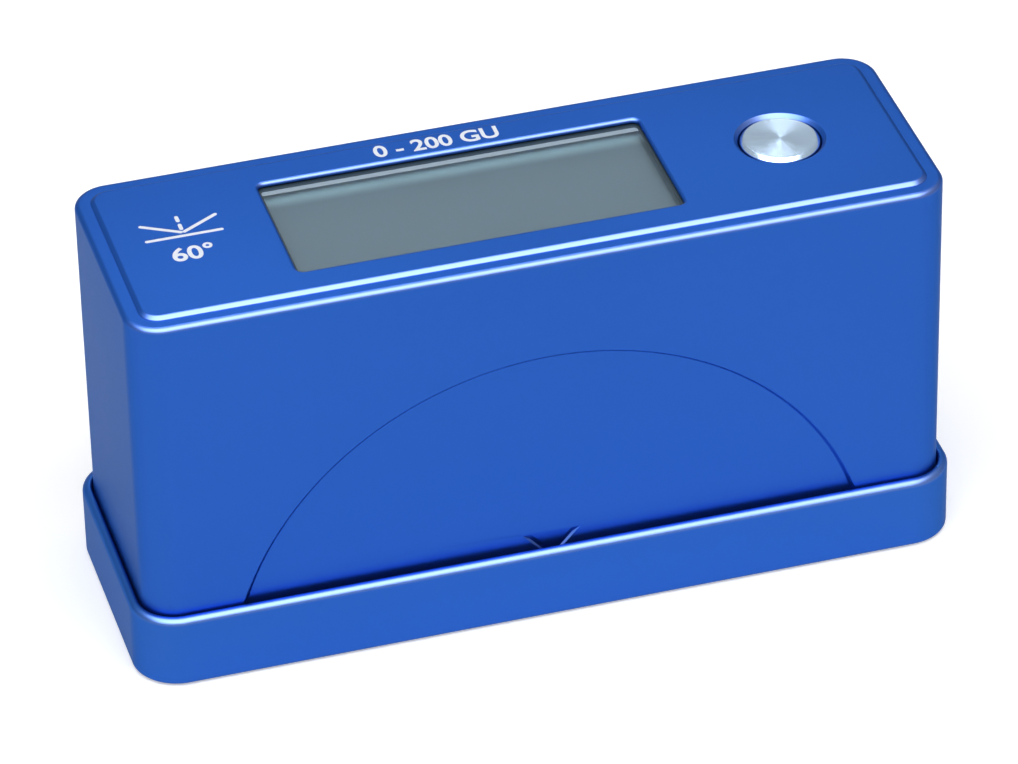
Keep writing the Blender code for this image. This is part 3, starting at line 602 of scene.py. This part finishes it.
# Finishes of the pieces inside, by the names that the CAD nodes' slots carry
inner_finishes = {name: finish(name, light, dark, **rest) for name, light, dark, rest in (
    ("backlight_acrylic", (0.8, 0.84, 0.86), (0.74, 0.78, 0.8), dict(roughness=0.3)),
    ("display_frame_plastic", (0.035, 0.035, 0.037), (0.026, 0.026, 0.028),
     dict(roughness=0.5, bump=0.3)),
    ("board_laminate", (0.012, 0.15, 0.065), (0.008, 0.11, 0.045),
     dict(roughness=0.42, grain=1500.0, drift=60.0, shade=0.5, spread=0.05, bump=0.4)),
    ("chip_resin", (0.02, 0.02, 0.021), (0.013, 0.013, 0.014), dict(roughness=0.55, bump=0.4)),
    ("switch_plastic", (0.025, 0.025, 0.025), (0.018, 0.018, 0.018),
     dict(roughness=0.45, bump=0.2)),
    ("plunger_plastic", (0.56, 0.56, 0.54), (0.5, 0.5, 0.48), dict(roughness=0.45, bump=0.2)),
    ("optics_black_anodised", (0.016, 0.016, 0.017), (0.010, 0.010, 0.011),
     dict(roughness=0.55, metallic=0.6, grain=2600.0, shade=0.5, bump=0.4)),
    ("stop_black", (0.014, 0.014, 0.014), (0.009, 0.009, 0.009), dict(roughness=0.7, bump=0.3)),
    ("emitter_epoxy", (0.85, 0.83, 0.7), (0.78, 0.76, 0.62), dict(roughness=0.15)),
    ("sensor_ceramic", (0.26, 0.26, 0.28), (0.2, 0.2, 0.22), dict(roughness=0.3, bump=0.2)),
    ("cell_jacket", (0.13, 0.14, 0.15), (0.1, 0.11, 0.12),
     dict(roughness=0.3, metallic=0.2, grain=1200.0, drift=60.0)),
    ("contact_block_plastic", (0.034, 0.034, 0.034), (0.024, 0.024, 0.024),
     dict(roughness=0.5, bump=0.3)),
    ("contact_nickel", (0.72, 0.69, 0.62), (0.64, 0.61, 0.54),
     dict(roughness=0.25, metallic=1.0)),
)}


def clear_glass(name, tint, roughness, ior):
    """Clear glass or acrylic; light reaches what lies below it."""
    made = bpy.data.materials.new(name)
    made.use_nodes = True
    nodes = made.node_tree.nodes
    link = made.node_tree.links.new
    shader = nodes["Principled BSDF"]
    shader.inputs["Base Color"].default_value = (*tint, 1.0)
    shader.inputs["Roughness"].default_value = roughness
    shader.inputs["IOR"].default_value = ior
    shader.inputs["Transmission Weight"].default_value = 1.0
    path = nodes.new("ShaderNodeLightPath")
    lighting = nodes.new("ShaderNodeMath")
    lighting.operation = "MAXIMUM"
    link(path.outputs["Is Shadow Ray"], lighting.inputs[0])
    link(path.outputs["Is Diffuse Ray"], lighting.inputs[1])
    through = nodes.new("ShaderNodeBsdfTransparent")
    through.inputs["Color"].default_value = (*tint, 1.0)
    mix = nodes.new("ShaderNodeMixShader")
    link(lighting.outputs["Value"], mix.inputs[0])
    link(shader.outputs["BSDF"], mix.inputs[1])
    link(through.outputs["BSDF"], mix.inputs[2])
    link(mix.outputs["Shader"], nodes["Material Output"].inputs["Surface"])
    return made


lens_acrylic = clear_glass("lens_acrylic", (0.95, 0.97, 0.975), roughness=0.0, ior=1.5)
optical_glass = clear_glass("optical_glass", (0.96, 0.98, 0.99), roughness=0.0, ior=1.52)


# Housing skin

def relief_depth(height):
    """Depth of the relief's floor, growing evenly from the arc's top downwards."""
    share = (arc_top - height) / (arc_top - rim_level)
    return arc_depth_top + (arc_depth_rim - arc_depth_top) * share


def corner_curve(before, corner, after, steps):
    """Rounded corner: the quadratic curve (1-t)^2 before + 2t(1-t) corner + t^2 after."""
    t = np.linspace(0.0, 1.0, steps + 1)[:, None, None]
    return (1 - t) ** 2 * before + 2 * t * (1 - t) * corner + t ** 2 * after


def mitred(outline, inset):
    """Closed polygon moved inwards by a distance, its corners mitred."""
    ahead = np.roll(outline, -1, axis=0) - outline
    ahead /= np.linalg.norm(ahead, axis=1)[:, None]
    inward = np.stack([-ahead[:, 1], ahead[:, 0]], 1)
    both = inward + np.roll(inward, 1, axis=0)
    scale = inset * 2 / np.sum(both * both, axis=1)
    return outline + both * scale[:, None]


def long_face(skin):
    """Front face with its relief, and the bottom edge that it ends on.

    Rays fan out from the arc to the edge of the flat face. The arc's wall is
    a profile in (distance inwards from the arc, depth) with rounded corners,
    laid along the arc so that every row starts and ends on the same level.
    Returns the points along the face's lower and upper edges, left to right.
    """
    low = meter_bottom + bottom_fillet
    high = ledge_level - ledge_fillet
    half = body_length / 2 - body_corner
    heights = np.concatenate([[low], np.linspace(low + support, high - support, face_rows), [high]])
    tops = stations(half, face_columns)[::-1]
    rim = np.concatenate([
        np.stack([np.full_like(heights, half), heights], 1),
        np.stack([tops[1:-1], np.full(len(tops) - 2, high)], 1),
        np.stack([np.full_like(heights, -half), heights[::-1]], 1)])
    inner = np.stack([np.clip(rim[:, 0], support - half, half - support),
                      np.minimum(rim[:, 1], high - support)], 1)
    angle = np.arctan2(rim[:, 1] - arc_centre, rim[:, 0])
    share = (angle - angle[0]) / (angle[-1] - angle[0])

    first = np.arcsin((low - arc_centre) / arc_radius)
    on_arc = first + share * (math.pi - 2 * first)
    deep = relief_depth(arc_centre + arc_radius * np.sin(on_arc))
    zero = np.zeros_like(deep)
    edge = np.stack([zero, zero], 1)
    foot = np.stack([deep, deep], 1)
    slope = np.array([math.sqrt(0.5), math.sqrt(0.5)]) * arc_round
    flat = np.array([arc_round, 0.0])
    profile = np.concatenate([
        np.stack([zero - support, zero], 1)[None],
        corner_curve(edge - flat, edge, edge + slope, 4),
        corner_curve(foot - slope, foot, foot + flat, 4),
        (foot + flat + (relief_support, 0.0))[None]])
    radius = arc_radius - profile[..., 0]
    start = np.arcsin((low - arc_centre) / radius)
    theta = start + share * (math.pi - 2 * start)
    x = radius * np.cos(theta)
    z = arc_centre + radius * np.sin(theta)
    y = -body_width / 2 + profile[..., 1] / deep * relief_depth(z)
    arc_rows = np.stack([x, y, z], 2)
    skin.grid(arc_rows)

    front = np.full(len(rim), -body_width / 2)
    fan = np.stack([
        arc_rows[0],
        np.stack([inner[:, 0], front, inner[:, 1]], 1),
        np.stack([rim[:, 0], front, rim[:, 1]], 1)])
    skin.grid(fan)

    slant = mark_stroke * math.hypot(mark_half_width, mark_rise) / mark_half_width
    arm = mark_half_width * (1 - slant / mark_rise)
    chevron = np.array([
        (-mark_half_width, mark_top), (0.0, mark_top - mark_rise), (mark_half_width, mark_top),
        (arm, mark_top), (0.0, mark_top - mark_rise + slant), (-arm, mark_top)])
    groove = []
    for inset, depth in mark_wall:
        line = mitred(chevron, inset) - (0.0, mark_lean * inset)
        floor_y = -body_width / 2 + relief_depth(line[:, 1])
        groove.append(np.stack([line[:, 0], floor_y + depth, line[:, 1]], 1))
    groove = np.stack(groove)
    skin.grid(groove, closed=True)
    skin.fill(groove[-1])

    floor = arc_rows[-1]
    ends = np.linspace(floor[-1], floor[0], 9)[1:-1]
    skin.fill(np.concatenate([floor, ends]), groove[0])
    lower = np.concatenate([fan[::-1, -1], arc_rows[1:, -1], ends, arc_rows[::-1, 0], fan[1:, 0]])
    return lower[:, :2], heights, tops[::-1]


def half_turn(points):
    """The same points turned by 180 degrees about Z."""
    return points * np.array([-1.0, -1.0, 1.0])[:points.shape[-1]]


def housing():
    """Outer skin with its fillets, ledge and plateau, and the cavity inside."""
    skin = Skin()
    lower, heights, xs = long_face(skin)
    # The back face is the front one, turned half round
    back = Skin()
    long_face(back)
    skin.add(half_turn(np.concatenate(back.points)), np.zeros((0, 3), dtype=int))
    offset = skin.count - back.count
    skin.faces.extend([[i + offset for i in face] for face in back.faces])

    outline, normals = rounded_outline(body_length, body_width, body_corner, corner=14, across=7,
                                       front=xs)
    count = len(xs)
    half = len(outline) // 2
    # The rounded ends, each from one long face to the other
    for start in (count - 1, half + count - 1):
        end = np.arange(start, start + half - count + 2) % len(outline)
        skin.grid(rings(outline[end], normals[end], np.stack([np.zeros_like(heights), heights], 1)))

    slope = sloped_edge(-ledge_width, plateau_level, plateau_slope, plateau_rounds)
    top = np.concatenate([
        bend(ledge_fillet, 0, 90, (-ledge_fillet, ledge_level - ledge_fillet), 10),
        [(-ledge_fillet - ledge_support[0], ledge_level),
         (-ledge_width + ledge_support[1], ledge_level),
         (-ledge_width, ledge_level)],
        slope,
        [(slope[-1, 0] - plateau_support, plateau_level)]])
    crown = rings(outline, normals, top)
    skin.grid(crown, closed=True)

    window, out = rounded_outline(*window_size, window_corner, along=9, across=5,
                                  centre=window_centre)
    opening = np.concatenate([
        [(window_edge + window_support, plateau_level)],
        bend(window_edge, 90, 180, (window_edge, plateau_level - window_edge), 8),
        [(0.0, web_level + web_bevel[1]), (web_bevel[0], web_level)]])
    mouth = rings(window, out, opening)
    skin.grid(mouth, closed=True)
    hole, turn = circle(button_centre)
    bore = rings(hole, turn, np.concatenate([
        [(hole_radius + hole_slope[0] + hole_support, plateau_level)],
        sloped_edge(-hole_radius, plateau_level, hole_slope, hole_rounds)[::-1] * (-1, 1),
        [(hole_radius, roof_level)]]))
    skin.grid(bore, closed=True)
    skin.fill(crown[-1], mouth[0], bore[0])

    pocket, side = rounded_outline(*around_window(lens_pocket_growth, lens_pocket_growth),
                                   lens_pocket_corner, corner=6, centre=window_centre)
    well = rings(pocket, side, [(0.0, web_level), (0.0, roof_level)])
    skin.grid(well, closed=True)
    skin.fill(level(pocket, web_level), mouth[-1])
    cavity, away = rounded_outline(body_length - 2 * wall, body_width - 2 * wall, cavity_corner)
    inside = rings(cavity, away, [(0.0, roof_level), (0.0, meter_bottom + cavity_bevel),
                                  (cavity_bevel, meter_bottom)])
    skin.grid(inside, closed=True)
    skin.fill(level(cavity, roof_level), level(pocket, roof_level), bore[-1])

    # The bottom edge follows the relief along both long faces
    face_out = np.tile((0.0, -1.0), (len(lower), 1))
    right = np.arange(count, half)
    left = np.arange(half + count, 2 * half)
    foot = np.concatenate([lower, outline[right], half_turn(lower), outline[left]])
    foot_out = np.concatenate([face_out, normals[right], -face_out, normals[left]])
    rim = rings(foot, foot_out,
                bend(bottom_fillet, 0, -90, (-bottom_fillet, meter_bottom + bottom_fillet), 5))
    skin.grid(rim, closed=True)
    skin.fill(rim[-1], inside[-1])
    made = skin.piece("housing", blue_anodised, "meter")
    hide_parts("body_shell")


housing()


# Calibration base

def tray():
    """Base with a filleted rim, the pocket for the meter and the tile's recess."""
    skin = Skin()
    outline, out = rounded_outline(tray_length, tray_width, tray_corner, corner=18, along=9,
                                   across=5)
    side = rings(outline, out, np.concatenate([
        [(-tray_bottom_fillet - tray_support, tray_bottom)],
        bend(tray_bottom_fillet, -90, 0,
             (-tray_bottom_fillet, tray_bottom + tray_bottom_fillet), 5),
        [(0.0, tray_bottom + tray_bottom_fillet + support),
         (0.0, rim_level - rim_fillet - support)],
        bend(rim_fillet, 0, 90, (-rim_fillet, rim_level - rim_fillet), 12)]))
    skin.grid(side, closed=True)
    # The pocket's wall stands pocket_gap outside the meter's side
    gap_at = -(tray_corner - body_corner) + pocket_gap
    hollow = rings(outline, out, np.concatenate([
        [(-rim_fillet, rim_level)],
        bend(rim_inner_round, 90, 180, (gap_at + rim_inner_round, rim_level - rim_inner_round), 6),
        [(gap_at, rim_level - rim_inner_round - support), (gap_at, seat_level + support)],
        bend(seat_fillet, 0, -90, (gap_at - seat_fillet, seat_level + seat_fillet), 3),
        [(gap_at - seat_support, seat_level)]]))
    skin.grid(hollow, closed=True)
    recess, away = rounded_outline(*tile_pocket_size, tile_pocket_corner, corner=6, along=5,
                                   across=5, centre=(0.0, tile_y))
    wall_rows = rings(recess, away, np.concatenate([
        [(tile_pocket_round + tile_pocket_support, seat_level)],
        bend(tile_pocket_round, 90, 180, (tile_pocket_round, seat_level - tile_pocket_round), 3),
        [(0.0, tile_pocket_floor)]]))
    skin.grid(wall_rows, closed=True)
    skin.fill(hollow[-1], wall_rows[0])
    skin.fill(wall_rows[-1])
    holes = []
    recess_radius = foot_radius + foot_gap
    edge_radius = recess_radius + foot_recess_bevel
    for place in foot_places:
        sunk = turned_rows([(edge_radius + foot_recess_support, tray_bottom),
                            (edge_radius, tray_bottom),
                            (recess_radius, tray_bottom + foot_recess_bevel),
                            (recess_radius, foot_recess_top)], place, count=48)
        skin.grid(sunk, closed=True)
        skin.fill(sunk[-1])
        holes.append(sunk[0])
    skin.fill(side[0], *holes)
    made = skin.piece("tray", tray_anodised, "base")
    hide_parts("base_tray")


tray()


def feet():
    """Rubber discs with a rounded lower edge."""
    for number, place in enumerate(foot_places, 1):
        skin = Skin()
        rows = turned_rows(np.concatenate([
            [(foot_radius, foot_top), (foot_radius, foot_edge + foot_side_support)],
            bend(foot_edge, 0, -90, (foot_radius - foot_edge, foot_edge), 5),
            [(foot_radius - foot_support, 0.0)]]), place, count=48)
        skin.grid(rows, closed=True)
        skin.fill(rows[0])
        skin.fill(rows[-1])
        made = skin.piece("foot_%d" % number, foot_rubber, "base")
        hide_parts("base_foot_%d" % number)


feet()


def slab(name, look, body, size, corner, low, high, edge, centre):
    """Flat closed piece between two heights, its edges rounded all the way round."""
    skin = Skin()
    outline, out = rounded_outline(*size, corner, centre=centre)
    rows = rings(outline, out, np.concatenate([
        [(-edge - slab_support, low)],
        bend(edge, -90, 0, (-edge, low + edge), 3),
        bend(edge, 0, 90, (-edge, high - edge), 3),
        [(-edge - slab_support, high)]]))
    skin.grid(rows, closed=True)
    skin.fill(rows[0])
    skin.fill(rows[-1])
    return skin.piece(name, look, body)


tile = slab("black_standard", black_glass, "base", tile_size, tile_corner, *tile_levels,
            edge=tile_edge, centre=(0.0, tile_y))
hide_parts("calibration_tile")


# Display

def gasket():
    """Black seal round the window, on the lens: a flat ring between two rounded outlines."""
    skin = Skin()
    outer = rounded_outline(*around_window(gasket_growth, gasket_growth),
                            gasket_corners[0], centre=window_centre)[0]
    inner = rounded_outline(*around_window(-2 * gasket_inset[0], -2 * gasket_inset[1]),
                            gasket_corners[1], centre=window_centre)[0]
    low = lens_top + layer_gap
    high = lens_top + gasket_height
    skin.grid(np.stack([level(outer, low), level(outer, high), level(inner, high),
                        level(inner, low), level(outer, low)]), closed=True)
    skin.piece("window_gasket", gasket_black, "meter")


glass = slab("window_glass", lens_acrylic, "meter", around_window(lens_growth, lens_growth),
             lens_corner, lens_top - lens_thickness, lens_top, edge=0.1, centre=window_centre)
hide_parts("display_lens")
bezel_back = window_centre[1] + window_size[1] / 2 - gasket_inset[1]
slab("display_bezel", bezel_grey, "meter",
     (window_size[0] - 2 * gasket_inset[0], bezel_width), bezel_corner,
     lens_top + layer_gap, lens_top + bezel_height, edge=0.01,
     centre=(window_centre[0], bezel_back - bezel_width / 2))
gasket()
film = slab("display_film", film_grey, "meter", around_window(film_growth, film_growth),
            film_corner, *film_levels, edge=0.05, centre=window_centre)


# Push button

def button():
    """Turned cap: fine rings r -> depth * (1 - cos(2 pi r / pitch)) / 2 across its face."""
    skin = Skin()
    edge = sloped_edge(button_radius, button_top, button_slope, button_rounds)
    face_end = edge[-1, 0]
    last = round(face_end / spin_pitch * spin_points)
    radii = np.arange(spin_points, last) * spin_pitch / spin_points
    rings_cut = button_top - spin_depth * (1 - np.cos(2 * math.pi * radii / spin_pitch)) / 2
    profile = np.concatenate([
        np.stack([radii, rings_cut], 1),
        edge[::-1],
        [(button_radius, flange_top + flange_bevel), (button_radius + flange_bevel, flange_top),
         (button_flange_radius, flange_top), (button_flange_radius, flange_bottom)]])
    rows = turned_rows(profile, button_centre, count=160)
    skin.grid(rows, closed=True)
    skin.fill(rows[0])
    skin.fill(rows[-1])
    made = skin.piece("push_button", turned_aluminium, "button")
    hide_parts("button_cap")


button()


# Print on the plateau

def words(name, text, size, place):
    """Raised ink letters, made a mesh and laid on the plateau; place is their middle."""
    route = bpy.data.curves.new(name, "FONT")
    route.body = text
    route.size = size * mm
    route.extrude = ink_half * mm
    route.offset = ink_spread * size * mm
    route.align_x = "CENTER"
    route.align_y = "CENTER"
    route.resolution_u = 5
    holder = bpy.data.objects.new(name + "_route", route)
    bpy.context.scene.collection.objects.link(holder)
    graph = bpy.context.evaluated_depsgraph_get()
    mesh = bpy.data.meshes.new_from_object(holder.evaluated_get(graph))
    bpy.data.objects.remove(holder, do_unlink=True)
    mesh.transform(Matrix.Translation(Vector((*place, plateau_level + ink_half)) * mm))
    mesh.materials.clear()
    mesh.materials.append(print_white)
    made = bpy.data.objects.new(name, mesh)
    bpy.context.scene.collection.objects.link(made)
    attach(made, "meter")


def stroke(skin, start, end, width):
    """Flat bar of ink from one point to another, with half circles for its ends."""
    along = math.atan2(end[1] - start[1], end[0] - start[0])
    turn = np.linspace(-math.pi / 2, math.pi / 2, 9)
    caps = []
    for point, way in ((end, turn + along), (start, turn + along + math.pi)):
        caps.append(np.stack([np.cos(way), np.sin(way)], 1) * width / 2 + point)
    outline = np.concatenate(caps)
    low = level(outline, plateau_level - ink_sunk)
    high = level(outline, plateau_level + 2 * ink_half)
    skin.grid(np.stack([low, high]), closed=True)
    skin.fill(low)
    skin.fill(high)


def light_path():
    """Plain sign for a gloss reading: a ray down at sixty degrees and one up again."""
    foot = np.array(sign_foot)
    marks = {"surface": ((-5.2, -0.8), (5.2, -0.8)), "normal_low": ((0.0, 0.9), (0.0, 1.9)),
             "normal_high": ((0.0, 2.9), (0.0, 3.9))}
    for name, side in (("ray_down", -1), ("ray_up", 1)):
        way = np.array((side * math.sin(ray_angle), math.cos(ray_angle)))
        marks[name] = (way * ray_reach[0], way * ray_reach[1])
    for name, (start, end) in marks.items():
        skin = Skin()
        stroke(skin, foot + start, foot + end, stroke_width)
        skin.piece("sign_" + name, print_white, "meter")


light_path()
words("angle_print", "60°", 4.4, (-44.9, -2.7))
words("range_print", "0 - 200 GU", 3.9, (-6.4, 13.6))


# Finishes of the CAD nodes

def dress():
    """Give each CAD node the finish here that has its material's name."""
    looks = dict(inner_finishes)
    looks.update({
        "plate_anodised": plate_anodised, "screw_steel": screw_steel, "tile_foam": tile_foam,
        "door_plastic": door_plastic, "lcd_glass": film_grey, "optical_glass": optical_glass,
        "blue_anodised": blue_anodised, "tray_anodised": tray_anodised, "foot_rubber": foot_rubber,
        "black_glass": black_glass, "lens_acrylic": lens_acrylic,
        "turned_aluminium": turned_aluminium})
    for node in frame["nodes"].values():
        for holder in node.material_slots:
            key = holder.material.name.split(".")[0]
            holder.material = looks[key]


dress()


# Floor, light and camera

def floor():
    """Wide pale matt floor with a glow that adds nothing to diffuse light.

    The camera sees the whole glow, and mirror_share of it in reflections and
    through clear pieces.
    """
    mesh = bpy.data.meshes.new("floor")
    mesh.from_pydata([(-6, -6, 0), (6, -6, 0), (6, 6, 0), (-6, 6, 0)], [], [(0, 1, 2, 3)])
    made = bpy.data.objects.new("floor", mesh)
    bpy.context.scene.collection.objects.link(made)
    look = bpy.data.materials.new("floor_paper")
    look.use_nodes = True
    nodes = look.node_tree.nodes
    link = look.node_tree.links.new
    shader = nodes["Principled BSDF"]
    shader.inputs["Base Color"].default_value = (0.8, 0.8, 0.8, 1.0)
    shader.inputs["Roughness"].default_value = 0.9
    shader.inputs["Specular IOR Level"].default_value = 0.0
    shader.inputs["Emission Color"].default_value = (1.0, 1.0, 1.0, 1.0)
    path = nodes.new("ShaderNodeLightPath")
    mirrored = nodes.new("ShaderNodeMath")
    mirrored.operation = "MAXIMUM"
    link(path.outputs["Is Glossy Ray"], mirrored.inputs[0])
    link(path.outputs["Is Transmission Ray"], mirrored.inputs[1])
    seen = nodes.new("ShaderNodeMath")
    seen.operation = "MULTIPLY_ADD"
    link(mirrored.outputs["Value"], seen.inputs[0])
    seen.inputs[1].default_value = mirror_share
    link(path.outputs["Is Camera Ray"], seen.inputs[2])
    lift = nodes.new("ShaderNodeMath")
    lift.operation = "MULTIPLY"
    lift.inputs[1].default_value = floor_glow
    link(seen.outputs["Value"], lift.inputs[0])
    link(lift.outputs["Value"], shader.inputs["Emission Strength"])
    mesh.materials.append(look)


def world():
    """Pale surround whose strength grows from the horizon to overhead."""
    made = bpy.data.worlds.new("studio")
    bpy.context.scene.world = made
    made.use_nodes = True
    nodes = made.node_tree.nodes
    link = made.node_tree.links.new
    backdrop = nodes["Background"]
    backdrop.inputs["Color"].default_value = (1.0, 1.0, 1.0, 1.0)
    place = nodes.new("ShaderNodeTexCoord")
    split = nodes.new("ShaderNodeSeparateXYZ")
    link(place.outputs["Generated"], split.inputs["Vector"])
    strength = nodes.new("ShaderNodeMapRange")
    strength.inputs["To Min"].default_value = surround[0]
    strength.inputs["To Max"].default_value = surround[1]
    link(split.outputs["Z"], strength.inputs["Value"])
    link(strength.outputs["Result"], backdrop.inputs["Strength"])


def soft_light(name, azimuth, elevation, distance, size, radiance, gloss_only=False):
    """Rectangular soft light at an azimuth from the front face and an elevation.

    Its power is radiance times pi times its area. A gloss card shows only in
    reflections, any other light in everything but them.
    """
    angle = math.radians(elevation)
    turn = math.radians(azimuth)
    flat = math.cos(angle)
    place = Vector((flat * math.sin(turn), -flat * math.cos(turn), math.sin(angle))) * distance
    data = bpy.data.lights.new(name, "AREA")
    data.shape = "RECTANGLE"
    data.size = size[0]
    data.size_y = size[1]
    data.energy = radiance * math.pi * size[0] * size[1]
    made = bpy.data.objects.new(name, data)
    bpy.context.scene.collection.objects.link(made)
    made.location = place
    made.rotation_euler = (Vector(light_aim) - place).to_track_quat("-Z", "Y").to_euler()
    made.visible_camera = False
    if gloss_only:
        made.visible_diffuse = False
        made.visible_transmission = False
    else:
        made.visible_glossy = False


def camera():
    """Camera at the photograph's place, angle and field of view."""
    data = bpy.data.cameras.new("camera")
    data.sensor_width = 36.0
    data.sensor_fit = "HORIZONTAL"
    data.lens = 225.08
    data.clip_start = 0.01
    data.clip_end = 50.0
    made = bpy.data.objects.new("camera", data)
    bpy.context.scene.collection.objects.link(made)
    made.matrix_world = Matrix((
        (0.95944, 0.175684, -0.220477, -0.195798),
        (-0.28133, 0.54638, -0.788874, -0.698378),
        (-0.018129, 0.818904, 0.573644, 0.534087),
        (0.0, 0.0, 0.0, 1.0)))
    bpy.context.scene.camera = made


floor()
world()
soft_light("key", -12.0, 68.0, 1.2, (1.0, 0.5), 5.0)
soft_light("front_card", -22.0, 62.0, 1.3, (2.0, 1.75), 4.4, gloss_only=True)
soft_light("back_card", -15.6, 121.0, 1.3, (0.42, 0.32), 6.0, gloss_only=True)
camera()
bpy.context.scene.view_settings.view_transform = "Standard"
